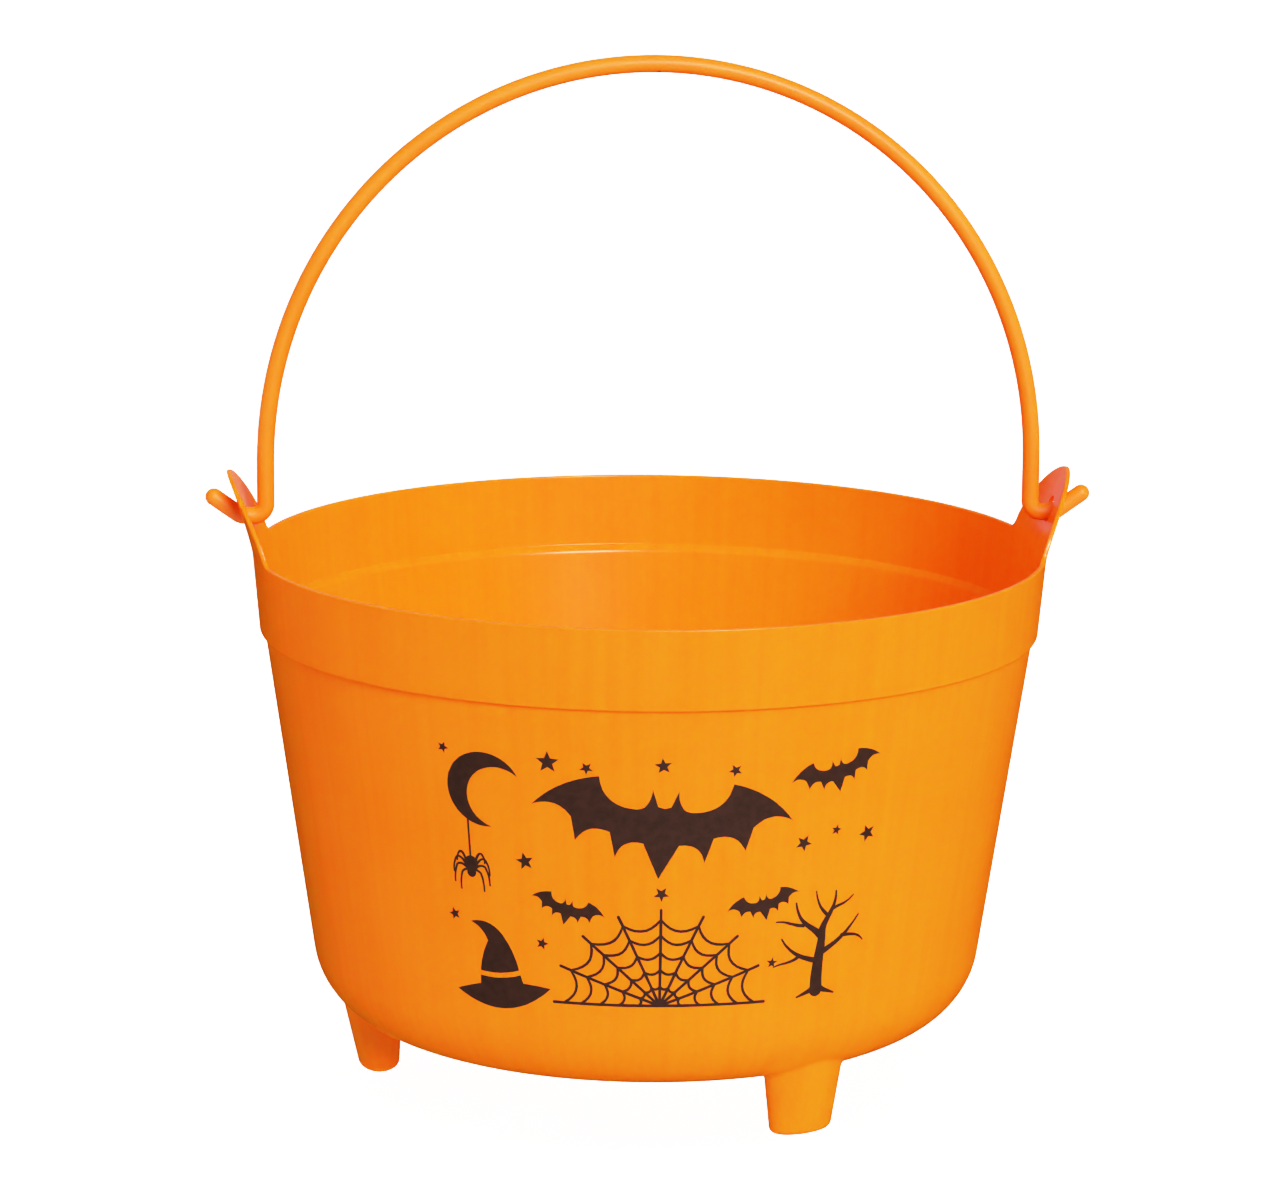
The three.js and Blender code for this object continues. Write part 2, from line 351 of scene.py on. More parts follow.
def top_edge(face):
    """For each column round the shell: the angle and height of its top, the same a lip's rounding lower, and
    how much it is on an ear."""
    outline, inward = ear_outline()
    lowered = outline + inward * LIP_ROUNDING
    mirrored = [half[-2::-1] * [-1, 1] for half in (outline, lowered)]
    outline = np.concatenate([outline, mirrored[0]])[::-1]
    lowered = np.concatenate([lowered, mirrored[1]])[::-1]
    ear = np.interp(np.abs(outline[:, 0]), [EAR_HALF_WIDTH, EAR_HALF_WIDTH + 4], [1, 0])

    def angles(points, weight):
        return np.arcsin(points[:, 0] / face.radius_above(points[:, 1], weight))

    half_turn = [angles(outline, ear), angles(lowered, ear)]
    gap = np.linspace(half_turn[0][-1], math.pi + half_turn[0][0], RIM_COLUMNS + 1)[1:-1]
    flat = np.full(len(gap), float(RIM_Z))
    angle = np.concatenate([half_turn[0], gap])
    lower_angle = np.concatenate([half_turn[1], gap])
    z = np.concatenate([outline[:, 1], flat])
    lower_z = np.concatenate([lowered[:, 1], flat - LIP_ROUNDING])
    weight = np.concatenate([ear, np.zeros(len(gap))])
    return {
        "angle": np.concatenate([angle, angle + math.pi]),
        "lower_angle": np.concatenate([lower_angle, lower_angle + math.pi]),
        "z": np.tile(z, 2),
        "lower_z": np.tile(lower_z, 2),
        "ear": np.tile(weight, 2),
        "ear_columns": len(outline),
    }


def polar(radius, angle, z):
    return np.stack([radius * np.cos(angle), radius * np.sin(angle), z + 0 * radius], -1)


def face_grid(face, top, middle):
    """The grid of points of one face of the shell, with its top row a lip's rounding under the edge."""
    share = np.linspace(0, 1, TOP_ROWS + 1)[:-1, None]
    z = top["lower_z"] + (TOP_ROWS_FROM_Z - top["lower_z"]) * share
    angle = top["lower_angle"] + (top["angle"] - top["lower_angle"]) * share
    upper = polar(face.radius_above(z, top["ear"]), angle, z)
    profile = face.lower_profile(middle)
    radius, height = profile[:, :1], profile[:, 1:]
    lower = polar(radius + 0 * top["angle"], top["angle"] + 0 * radius, height)
    return np.concatenate([upper, lower])


def rolled_edge(outer_low, outer, inner, inner_low, leg):
    """Rings over an edge of the shell: round the outer corner, across, and round the inner corner."""
    across = inner - outer
    unit = across / np.linalg.norm(across, axis=1)[:, None]
    over = bezier([outer_low, outer, outer + unit * leg], CORNER_STEPS)[1:]
    under = bezier([inner - unit * leg, inner, inner_low], CORNER_STEPS)[:-1]
    return [*over, *under]


def nearest(values, wanted):
    return int(np.argmin(np.abs(values - wanted)))


def ear_point(face, side, y, z):
    radius = face.radius_above(z, 1)
    return np.stack([side * np.sqrt(radius**2 - y**2), side * y, z + 0 * y], -1)


def ear_hole(skin, side, borders):
    """Fills the blocks round one ear's hole, outside and inside, and lines the hole between them."""
    edges = []
    turns = None
    for face, (ids, points) in zip((OUTSIDE, INSIDE), borders):
        flat = np.stack([side * points[:, 1], points[:, 2] - HOLE_Z], -1)
        if turns is None:
            turns = np.arctan2(flat[:, 1], flat[:, 0])
        circle = np.stack([np.cos(turns), np.sin(turns)], -1)
        wide = circle * (HOLE_RADIUS + HOLE_ROUNDING)
        last = ids
        for share in np.linspace(0, 1, 5)[1:]:
            ring = flat + (wide - flat) * share
            last = skin.rings(last, [ear_point(face, side, ring[:, 0], ring[:, 1] + HOLE_Z)])
        exact = circle * HOLE_RADIUS
        edges.append((
            last,
            ear_point(face, side, wide[:, 0], wide[:, 1] + HOLE_Z),
            ear_point(face, side, exact[:, 0], exact[:, 1] + HOLE_Z),
        ))
    (outer_ids, outer_low, outer), (inner_ids, inner_low, inner) = edges
    lining = rolled_edge(outer_low, outer, inner, inner_low, HOLE_ROUNDING)
    skin.bridge(skin.rings(outer_ids, lining), inner_ids)


def foot_point(turn, z, inset, shrink):
    """A point of a foot's side at a height, as (outwards, along the wall) from the foot's middle."""
    outer = FOOT_HALF_WIDTH + z * FOOT_OUTER_SLOPE - inset - shrink
    inner = FOOT_HALF_WIDTH + z * FOOT_INNER_SLOPE - inset - shrink
    end = FOOT_HALF_LENGTH + z * FOOT_END_SLOPE - inset - shrink
    across = np.where(np.cos(turn) > 0, outer, inner)
    return np.stack([across * np.cos(turn), end * np.sin(turn)], -1)


# Where the search for a foot's top looks: over these heights, within this radius, in this many halvings
FOOT_TOP_RANGE = (5.0, 40.0)
FOOT_TOP_RADIUS = 84
FOOT_TOP_HALVINGS = 40

# Rings of a foot as shares of the way: over the pot's face, down the foot's side, and in over its sole
FOOT_FACE_SHARES = (0.62, 0.34, 0.14)
FOOT_SIDE_SHARES = (0.08, 0.36, 0.64, 0.92)
FOOT_SOLE_SHARES = (0.93, 0.6, 0.25)


def meeting_heights(face, side, count):
    """The heights at which a foot's side meets a face, found by halving."""
    low, high = (np.full(count, z) for z in FOOT_TOP_RANGE)
    for _ in range(FOOT_TOP_HALVINGS):
        z = (low + high) / 2
        plan = side(z)[:, :2]
        under = z < face.height(np.minimum(np.hypot(plan[:, 0], plan[:, 1]), FOOT_TOP_RADIUS))
        low, high = np.where(under, z, low), np.where(under, high, z)
    return low


def foot(skin, face, sole_z, degrees, ids, border):
    """Fills the block under one foot: the pot's face round it, a fillet, the foot's side and its sole.
    On the inside face that makes the hollow in the foot."""
    inset = face.inset
    heading = math.radians(degrees)
    out = np.array([math.cos(heading), math.sin(heading)])
    along = np.array([-math.sin(heading), math.cos(heading)])
    middle = out * FOOT_CIRCLE
    offset = border[:, :2] - middle
    flat = np.stack([offset @ out, offset @ along], -1)
    width = np.where(flat[:, 0] > 0, FOOT_HALF_WIDTH * 1.5, FOOT_HALF_WIDTH)
    turn = np.arctan2(flat[:, 1] / FOOT_HALF_LENGTH, flat[:, 0] / width)

    def side(z, shrink=0):
        local = foot_point(turn, z, inset, shrink)
        plan = middle + local[:, :1] * out + local[:, 1:] * along
        return np.concatenate([plan, np.broadcast_to(z, turn.shape)[:, None]], -1)

    meet_z = meeting_heights(face, side, len(turn))
    meet = side(meet_z)

    def face_point(share):
        """From where the foot's side meets the face, at share 0, to the block's border, at share 1."""
        meet_angle = np.arctan2(meet[:, 1], meet[:, 0])
        border_angle = np.arctan2(border[:, 1], border[:, 0])
        swing = (border_angle - meet_angle + math.pi) % (2 * math.pi) - math.pi
        start, end = np.hypot(meet[:, 0], meet[:, 1]), np.hypot(border[:, 0], border[:, 1])
        radius = start + (end - start) * share
        return polar(radius, meet_angle + swing * share, face.height(radius))

    length = np.linalg.norm(border - meet, axis=1)
    share = np.minimum(0.5, FOOT_FILLET / length)
    rim, beyond = face_point(share), face_point(share * 1.02)
    tangent = beyond - rim
    tangent /= np.linalg.norm(tangent, axis=1)[:, None]
    leg_top_z = meet_z - FOOT_FILLET
    leg = side(leg_top_z)
    reach = np.linalg.norm(rim - meet, axis=1)[:, None]
    fillet = bezier([rim, rim - tangent * reach * 0.6, meet + (leg - meet) * 0.4, leg], 6)
    spread = [face_point(share + (1 - share) * s) for s in FOOT_FACE_SHARES]
    edge = FOOT_EDGE
    walls = [side(leg_top_z + (sole_z + edge - leg_top_z) * s) for s in FOOT_SIDE_SHARES]
    bends = np.linspace(math.pi / 2, 0, 6)
    edges = [side(sole_z + edge * (1 - math.cos(a)), edge * (1 - math.sin(a))) for a in bends]
    centre = np.array([*middle, sole_z])
    sole = [centre + (edges[-1] - centre) * s for s in FOOT_SOLE_SHARES]
    last = skin.rings(ids, [*spread, *fillet, *walls, *edges, *sole])
    skin.fan(last, centre)


def pot():
    skin = Skin()
    faces = []
    for face, middle in ((OUTSIDE, SPRUE_DISH), (INSIDE, PLAIN_MIDDLE)):
        top = top_edge(face)
        grid = face_grid(face, top, middle)
        columns = grid.shape[1]
        half = columns // 2
        tip = (top["ear_columns"] - 1) // 2
        y = grid[2, : top["ear_columns"], 1]
        reach = tip - nearest(y, -HOLE_BLOCK_HALF_WIDTH)
        ear_z = grid[: TOP_ROWS + 1, tip, 2]
        rows = [nearest(ear_z, HOLE_Z + side * HOLE_BLOCK_HALF_HEIGHT) for side in (1, -1)]
        blocks = [(*rows, at - reach, at + reach) for at in (tip, tip + half)]
        radius = np.hypot(grid[:, 0, 0], grid[:, 0, 1])
        lower = radius[ROWS_ABOVE_FOOT_BLOCK:]
        foot_rows = [ROWS_ABOVE_FOOT_BLOCK + nearest(lower, r) for r in (FOOT_BLOCK_OUTER, FOOT_BLOCK_INNER)]
        angle = top["angle"] % (2 * math.pi)
        for degrees in FOOT_ANGLES:
            heading = math.radians(degrees)
            sides = [nearest(angle, heading + turn * FOOT_BLOCK_HALF_TURN) for turn in (-1, 1)]
            blocks.append((*foot_rows, *sides))
        ids, borders = skin.sheet(grid, blocks)
        skin.fan(ids[-1], [0, 0, grid[-1, 0, 2]])
        loops = [(ids[b[:, 0], b[:, 1]], grid[b[:, 0], b[:, 1]]) for b in borders]
        corner = polar(face.radius_above(top["z"], top["ear"]), top["angle"], top["z"])
        faces.append((ids, loops, grid[0], corner))
        sole_z = 0 if face is OUTSIDE else FOOT_SOLE
        for degrees, loop in zip(FOOT_ANGLES, loops[2:]):
            foot(skin, face, sole_z, degrees, *loop)
    (outer_ids, outer_loops, outer_low, outer), (inner_ids, inner_loops, inner_low, inner) = faces
    for side, number in ((1, 0), (-1, 1)):
        ear_hole(skin, side, (outer_loops[number], inner_loops[number]))
    rings = rolled_edge(outer_low, outer, inner, inner_low, LIP_ROUNDING)
    skin.bridge(skin.rings(outer_ids[0], rings), inner_ids[0])
    return skin.object("pot_moulding")


def bail_line():
    """Half the bail's middle line as (x, z) from the hook's end at +X to the arch's top, and its headings."""
    flank_y = ear_half_width(PIVOT_Z)
    flank_x = math.sqrt((ear_radius(PIVOT_Z) - WALL) ** 2 - flank_y**2)
    leg_x = flank_x - LEG_EAR_CLEARANCE - ROD_RADIUS
    bend = ROD_RADIUS + BEND_INSIDE
    pin_end = ear_radius(PIVOT_Z) - WALL / 2
    points, headings = [], []

    def arc(centre, start, end, steps, size, sense):
        for a in np.linspace(start, end, steps + 1):
            points.append([centre[0] + size[0] * math.cos(a), centre[1] + size[1] * math.sin(a)])
            heading = np.array([-size[0] * math.sin(a), size[1] * math.cos(a)]) * sense
            headings.append(heading / np.linalg.norm(heading))

    def run(end, steps):
        start, heading = np.array(points[-1]), headings[-1]
        for s in np.linspace(0, 1, steps + 1)[1:-1]:
            points.append(list(start + (np.array(end) - start) * s))
            headings.append(heading)

    down = -math.pi / 2
    hook_centre = np.array([pin_end, PIVOT_Z + bend])
    hook_start = hook_centre + bend * np.array([math.cos(down + HOOK_ANGLE), math.sin(down + HOOK_ANGLE)])
    upturn = np.array([math.cos(HOOK_ANGLE), math.sin(HOOK_ANGLE)])
    points.append(list(hook_start + upturn * HOOK_LENGTH))
    headings.append(-upturn)
    run(hook_start, 6)
    arc(hook_centre, down + HOOK_ANGLE, down, 8, (bend, bend), -1)
    run([leg_x + bend, PIVOT_Z], 4)
    arc([leg_x + bend, PIVOT_Z + bend], down, -math.pi, 12, (bend, bend), -1)
    run([leg_x, PIVOT_Z + LEG_HEIGHT], 6)
    arc([0, PIVOT_Z + LEG_HEIGHT], 0, math.pi / 2, 96, (leg_x, ARCH_HEIGHT), 1)
    return np.array(points), np.array(headings)


# The bail's parting line is a fine ridge where the two halves of its mould meet. The points of the rod's
# section lie closer together towards the ridge, and these are the turns of a quarter of them.
SEAM_RIDGE = 0.05
SEAM_HALF_WIDTH = 0.2
QUARTER_TURNS = np.array([0, 0.04, 0.09, 0.17, 0.34, 0.55, 0.78, 1.01, 1.24, 1.42])


def section_turns():
    quarter = QUARTER_TURNS
    half = [*quarter, math.pi / 2, *(math.pi - quarter[::-1])]
    other_half = [*(math.pi + quarter[1:]), 3 * math.pi / 2, *(2 * math.pi - quarter[:0:-1])]
    return np.round([*half, *other_half], 6)


def bail():
    half, heading = bail_line()
    points = np.concatenate([half, half[-2::-1] * [-1, 1]])
    headings = np.concatenate([heading, heading[-2::-1] * [1, -1]])
    turns = section_turns()
    ridge = SEAM_RIDGE * np.exp(-((np.sin(turns) * ROD_RADIUS / SEAM_HALF_WIDTH) ** 2))
    reach = ROD_RADIUS - SEAM_RIDGE + ridge
    skin = Skin()

    def ring(point, heading, size, forward):
        """One section of the rod. Turn 0 faces out of the arch, and a quarter turn faces back."""
        out = np.array([heading[1], -heading[0]])
        wide = np.cos(turns) * size
        x = point[0] + forward * heading[0] + wide * out[0]
        z = point[1] + forward * heading[1] + wide * out[1]
        return np.stack([x, np.sin(turns) * size, z], -1)

    rings = []
    cap = np.linspace(0, math.pi / 2, 9)[1:-1]
    for a in cap:
        rings.append(ring(points[0], headings[0], reach * math.sin(a), -ROD_RADIUS * math.cos(a)))
    for point, way in zip(points, headings):
        rings.append(ring(point, way, reach, 0))
    for a in cap[::-1]:
        rings.append(ring(points[-1], headings[-1], reach * math.sin(a), ROD_RADIUS * math.cos(a)))
    first = skin.add(rings[0])
    last = skin.rings(first, rings[1:])
    for ids, i, sense in ((first, 0, -1), (last, -1, 1)):
        tip = points[i] + sense * ROD_RADIUS * headings[i]
        skin.fan(ids, [tip[0], 0, tip[1]])
    return skin.object("bail_moulding")


# The print on the front. Its own plane is (across, up) in millimetres from the middle of the printed field,
# which is 110 wide and 66 high. A motif is a list of closed outlines that are inked as one film.
PRINT_ANGLE = math.radians(-92)
PRINT_Z = 72
INK_PROUD = 0.05
INK_SUNK = 0.04
INK_WOBBLE = 0.06
INK_WOBBLES_PER_MM = 1.1
INK_WOBBLE_SEED = 5
INK_GRID = 2.5
INK_GRID_TO_EDGE = 0.6


def on_wall(flat, proud):
    """Wraps points of the print's plane on the tapered wall, standing proud of it."""
    z = PRINT_Z + flat[:, 1] * math.cos(WALL_DRAFT)
    angle = PRINT_ANGLE + flat[:, 0] / wall_radius(PRINT_Z)
    return polar(wall_radius(z) + proud, angle, z)


def bowed_outline(knots, step=0.8):
    """A closed outline through knots. A knot is (x, y) for a straight stretch to the next, or (x, y, bow)
    where that stretch bows out to its left by this share of its length."""
    points = []
    for here, following in zip(knots, knots[1:] + knots[:1]):
        start, end = np.array(here[:2], float), np.array(following[:2], float)
        chord = end - start
        bow = here[2] if len(here) > 2 else 0
        control = (start + end) / 2 + np.array([-chord[1], chord[0]]) * bow * 2
        steps = max(1, round(np.linalg.norm(chord) * (1 + 2 * abs(bow)) / step))
        points.append(bezier([start, control, end], steps)[:-1])
    return np.concatenate(points)


def symmetric_outline(right):
    """The outline through the knots of its right half, from the top to the bottom, and their mirror image."""
    bows = [knot[2] if len(knot) > 2 else 0 for knot in right]
    left = [(-right[i][0], right[i][1], bows[i - 1]) for i in range(len(right) - 1, 0, -1)]
    return bowed_outline(right[:-1] + left)


def stroke(line, start_width, end_width):
    """A pen stroke along a line of points, with round ends."""
    along = np.gradient(line, axis=0)
    along /= np.linalg.norm(along, axis=1)[:, None]
    half = np.linspace(start_width, end_width, len(line))[:, None] / 2
    aside = np.stack([-along[:, 1], along[:, 0]], -1) * half
    turns = np.linspace(math.pi / 2, -math.pi / 2, 9)[1:-1, None]
    far_cap = line[-1] + aside[-1] * np.sin(turns) + along[-1] * half[-1] * np.cos(turns)
    near_cap = line[0] - aside[0] * np.sin(turns) - along[0] * half[0] * np.cos(turns)
    return np.concatenate([line + aside, far_cap, (line - aside)[::-1], near_cap])


def placed(outlines, x, y, size=1.0, turn=0.0):
    a = math.radians(turn)
    turned = np.array([[math.cos(a), math.sin(a)], [-math.sin(a), math.cos(a)]])
    return [outline * size @ turned + [x, y] for outline in outlines]


def dot(x, y, radius):
    a = np.linspace(0, 2 * math.pi, 25)[:-1]
    return np.stack([x + radius * np.cos(a), y + radius * np.sin(a)], -1)


def bat():
    """A bat with its wings spread, 62 wide."""
    return [symmetric_outline([
        (0, 5.6), (1.5, 6), (3.1, 10.4, -0.1), (4.6, 5.6, -0.1), (7.4, 5, -0.2), (15.5, 12.6, 0.09),
        (31, 3.4, -0.2), (21.5, 1.6), (20.2, -4.4, -0.22), (12.2, -1.4), (10.6, -7.8, -0.24), (4.2, -3.6),
        (0, -12.5),
    ])]


def star(points=5, radius=3.4, waist=0.42):
    angles = [math.pi / 2 + math.pi * i / points for i in range(2 * points)]
    reach = [radius if i % 2 == 0 else radius * waist for i in range(2 * points)]
    return [bowed_outline([(r * math.cos(a), r * math.sin(a)) for r, a in zip(reach, angles)])]


def crescent(radius=9.5, hollow=7.8, shift=3.8):
    """A new moon: a disc with a smaller disc, set aside, taken out of it."""
    meet_x = (radius**2 - hollow**2 + shift**2) / (2 * shift)
    meet_y = math.sqrt(radius**2 - meet_x**2)
    rim_start = math.atan2(meet_y, meet_x)
    hollow_start = math.atan2(meet_y, meet_x - shift)
    rim = np.linspace(rim_start, 2 * math.pi - rim_start, 48)
    bite = np.linspace(2 * math.pi - hollow_start, hollow_start, 40)[1:-1]
    return [np.concatenate([
        np.stack([radius * np.cos(rim), radius * np.sin(rim)], -1),
        np.stack([shift + hollow * np.cos(bite), hollow * np.sin(bite)], -1),
    ])]


def spider():
    """A spider that hangs from a thread, with four bent legs on each side."""
    outlines = [dot(0, 0, 2.6), dot(0, -3.4, 1.7), stroke(bezier([[0, 18], [0, 2]], 12), 0.7, 0.7)]
    for knee_y, reach, tip_y in ((3.6, 5.2, 0.4), (1.6, 6.8, -3.8), (-1.0, 6.6, -7.4), (-3.4, 4.4, -9.8)):
        knee = [reach * 0.8, knee_y]
        thigh = bezier([[1.0, -2.4], [reach * 0.5, knee_y + 1.2], knee], 8)
        shin = bezier([knee, [reach * 1.02, (knee_y + tip_y) / 2 + 0.4], [reach, tip_y]], 8)
        leg = np.concatenate([thigh, shin[1:]])
        outlines += [stroke(leg, 0.95, 0.6), stroke(leg * [-1, 1], 0.95, 0.6)]
    return outlines


def web():
    """Half a cobweb: spokes that spread up from its middle, and threads that sag between them."""
    angles = np.linspace(0, math.pi, 9)
    spokes = np.stack([27 * np.cos(angles), 25 * np.sin(angles)], -1)
    outlines = [stroke(bezier([[0, 0], tip], 12), 0.75, 0.75) for tip in spokes]
    for share in (0.2, 0.38, 0.56, 0.74, 0.9):
        thread = [spokes[:1] * share]
        for one, other in zip(spokes, spokes[1:]):
            thread.append(bezier([one * share, (one + other) / 2 * share * 0.8, other * share], 7)[1:])
        outlines.append(stroke(np.concatenate(thread), 0.7, 0.7))
    return outlines


def hat():
    """A pointed hat with a bent tip. A bare line between brim and cone stands for its band."""
    brim = bowed_outline([
        (-12.5, -6.4, 0.02), (-5.7, -5), (-5.3, -2.9, -0.06), (5.3, -2.9), (5.7, -5, 0.02),
        (12.5, -6.4, 0.19),
    ])
    cone = bowed_outline([
        (-5.1, -1.7, 0.05), (-1.8, 5.6, -0.12), (-5.6, 10.4, 0.16), (1.9, 7.6, 0.06), (5.1, -1.7, 0.06),
    ])
    return [brim, cone]


def tree():
    """A bare tree. Each limb is a curve's four points, and its widths at the two ends."""
    limbs = [
        ([(0, -13), (-0.8, -6), (0.6, -2), (0.2, 3)], 3.6, 1.9),
        ([(0.2, 2.2), (0.5, 6), (3.8, 7.5), (3.2, 12.5)], 2.0, 0.5),
        ([(0.3, 0.6), (-2.5, 4.5), (-6.5, 4), (-7.6, 10.5)], 1.9, 0.5),
        ([(0.1, -3.4), (4.5, -1.2), (7, 0.2), (10.6, 5.4)], 1.7, 0.45),
        ([(-0.2, -5.2), (-4, -4.6), (-8.4, -2.8), (-10.8, 1.4)], 1.6, 0.45),
        ([(-5.2, 4.4), (-8, 4.6), (-10, 6.2), (-12.6, 6)], 1.0, 0.4),
        ([(6.2, 0.6), (9, 0.4), (11, 0.6), (12.8, -1.6)], 1.0, 0.4),
        ([(1.6, 6.2), (-0.6, 8.2), (-1.6, 9.4), (-2.4, 13)], 1.0, 0.4),
        ([(2.9, 8), (5, 9), (6.2, 8.6), (8.4, 10.8)], 0.9, 0.4),
        ([(-6, -3.8), (-8.5, -5.4), (-10.5, -4.8), (-12.4, -5.8)], 0.9, 0.4),
        ([(0, -11.5), (-1.2, -13.2), (-3, -13.4), (-5.4, -14.4)], 2.0, 0.5),
        ([(0, -11.5), (1.2, -13.2), (3, -13.4), (5.4, -14.4)], 2.0, 0.5),
    ]
    return [stroke(bezier(points, 16), thick, thin) for points, thick, thin in limbs]


# Each star's place and size, and how far each is turned from the one before
STARS = [
    (-26.5, 29.5, 0.85), (-33, 3.5, 0.7), (52, 8.5, 0.7), (-17.5, 28.5, 0.5), (34.5, 8, 0.65),
    (-29.5, -17.5, 0.5), (28.5, -22.5, 0.45), (0, 29.5, 0.62), (-53, -12.5, 0.5), (16.5, 28, 0.5),
    (0, -3.4, 0.6), (-52.5, 30.5, 0.45), (43, 10.5, 0.42),
]
STAR_TURN = 11


def printed_motifs():
    motifs = [
        ("print_great_bat", placed(bat(), 0, 13, 1, -4)),
        ("print_moon", placed(crescent(), -42.5, 21, 1, -28)),
        ("print_small_bat_right", placed(bat(), 42, 25, 0.38, 12)),
        ("print_small_bat_left", placed(bat(), -23, -8.5, 0.3, -14)),
        ("print_small_bat_low", placed(bat(), 25.5, -7.5, 0.3, 12)),
        ("print_web", placed(web(), 0, -32.5)),
        ("print_hat", placed(hat(), -41.5, -24, 1.05, 6)),
        ("print_tree", placed(tree(), 41.5, -18)),
        ("print_spider", placed(spider(), -47.2, 1.5, 0.72)),
    ]
    for i, (x, y, size) in enumerate(STARS):
        motifs.append((f"print_star_{i + 1}", placed(star(), x, y, size, STAR_TURN * i)))
    return motifs


def roughened(outline):
    """The outline with a slightly uneven edge, as screen printing leaves it."""
    moved = []
    for x, y in outline:
        push = noise.noise_vector(Vector((x, y, 0)) * INK_WOBBLES_PER_MM)
        moved.append([x + push.x * INK_WOBBLE, y + push.y * INK_WOBBLE])
    return np.array(moved)


def anticlockwise(outline):
    x, y = outline.T
    area = np.sum(x * np.roll(y, -1) - np.roll(x, -1) * y)
    return outline if area > 0 else outline[::-1]


def ink_film(name, outlines):
    """A thin closed film of ink over all that lies in the outlines, wrapped on the wall."""
    loops = [anticlockwise(roughened(outline)) for outline in outlines]
    corners = np.concatenate(loops)
    starts = np.cumsum([0] + [len(loop) for loop in loops])
    regions = [list(range(first, end)) for first, end in zip(starts, starts[1:])]
    borders = [pair for region in regions for pair in zip(region, region[1:] + region[:1])]
    low, high = corners.min(0), corners.max(0)
    filling = [
        (x, y)
        for x in np.arange(low[0] + INK_GRID / 2, high[0], INK_GRID)
        for y in np.arange(low[1] + INK_GRID / 2, high[1], INK_GRID)
        if np.min(np.hypot(*(corners - [x, y]).T)) > INK_GRID_TO_EDGE
    ]
    plane = [Vector(p) for p in [*corners.tolist(), *filling]]
    points, _, triangles, _, _, sources = delaunay_2d_cdt(plane, borders, regions, 0, 1e-4)
    triangles = [triangle for triangle, source in zip(triangles, sources) if source]
    used = sorted({corner for triangle in triangles for corner in triangle})
    number = {corner: i for i, corner in enumerate(used)}
    triangles = [[number[corner] for corner in triangle] for triangle in triangles]
    flat = np.array([[points[corner].x, points[corner].y] for corner in used])
    film = Skin()
    top = film.add(on_wall(flat, INK_PROUD))
    bottom = film.add(on_wall(flat, -INK_SUNK))
    for triangle in triangles:
        film.faces.append([int(top[i]) for i in triangle])
        film.faces.append([int(bottom[i]) for i in reversed(triangle)])
    edges = {pair for triangle in triangles for pair in zip(triangle, [*triangle[1:], triangle[0]])}
    for a, b in sorted(edges):
        if (b, a) not in edges:
            film.faces.append([int(top[b]), int(top[a]), int(bottom[a]), int(bottom[b])])
    made = film.object(name)
    made.data.normals_split_custom_set_from_vertices(wall_normals(made.data))
    return made


def wall_normals(mesh):
    """The tapered wall's own direction at each vertex, so that the ink takes light as the wall does."""
    normals = []
    for vertex in mesh.vertices:
        out = Vector((vertex.co.x, vertex.co.y, 0)).normalized()
        normals.append(out * math.cos(WALL_DRAFT) - Vector((0, 0, math.sin(WALL_DRAFT))))
    return normals


class Nodes:
    """A material's nodes, added and linked with few words."""

    def __init__(self, name):
        self.material = bpy.data.materials.new(name)
        self.material.use_nodes = True
        self.tree = self.material.node_tree
        self.shader = self.tree.nodes["Principled BSDF"]

    def add(self, kind, settings=None, **inputs):
        node = self.tree.nodes.new("ShaderNode" + kind)
        for key, value in (settings or {}).items():
            setattr(node, key, value)
        for key, value in inputs.items():
            self.set(node, key, value)
        return node

    def set(self, node, key, value):
        socket = node.inputs[int(key[1:]) if key[0] == "_" and key[1:].isdigit() else key]
        if isinstance(value, bpy.types.NodeSocket):
            self.tree.links.new(value, socket)
        else:
            socket.default_value = value

    def math(self, operation, a, b=0.0):
        return self.add("Math", {"operation": operation}, _0=a, _1=b).outputs[0]

    def mix(self, factor, a, b):
        node = self.add("Mix", {"data_type": "RGBA"})
        self.set(node, "_0", factor)
        self.set(node, "_6", a)
        self.set(node, "_7", b)
        return node.outputs[2]

    def noise(self, vector, scale, detail=2.0, roughness=0.5):
        node = self.add("TexNoise", Vector=vector, Scale=scale, Detail=detail, Roughness=roughness)
        return node.outputs["Fac"]

    def ramp(self, value, low, high, to_low=0.0, to_high=1.0):
        node = self.add("MapRange", {"clamp": True}, Value=value)
        for key, number in zip(("From Min", "From Max", "To Min", "To Max"), (low, high, to_low, to_high)):
            self.set(node, key, number)
        return node.outputs["Result"]

    def position(self):
        """The point in the part's own frame, in millimetres."""
        scaled = self.add("VectorMath", {"operation": "SCALE"})
        self.set(scaled, "_0", self.add("TexCoord").outputs["Object"])
        self.set(scaled, "Scale", 1 / METRES)
        return scaled.outputs[0]


# The scar that the gate leaves on the bail: at the top of the arch, low on the front. Its darker spot is
# painted shade, standing for the shade in a small pit that the mesh does not have
GATE_TURN = math.radians(215)
GATE_PLACE = (
    1.2,
    ROD_RADIUS * math.sin(GATE_TURN),
    PIVOT_Z + LEG_HEIGHT + ARCH_HEIGHT + ROD_RADIUS * math.cos(GATE_TURN),
)
PAINTED_PIT_SHADE_RADIUS = 0.55
# Colour of the painted shade at the gate: the same orange, darker
PAINTED_PIT_SHADE_COLOUR = (0.30, 0.05, 0.004, 1)

# Flow streaks run up the wall: they are noise on a cylinder of this radius, drawn out by this much
STREAK_RADIUS = 90
STREAK_THINNESS = 0.03

# How many of each noise's spots there are to a millimetre
STREAK_SCALE = 0.35
CLOUD_SCALE = 0.03
GRAIN_SCALE = 3.2

# How far red, green and blue light spreads in the plastic, in metres
GLOW_REACH = 0.004
GLOW_SHARES = (1.0, 0.07, 0.015)


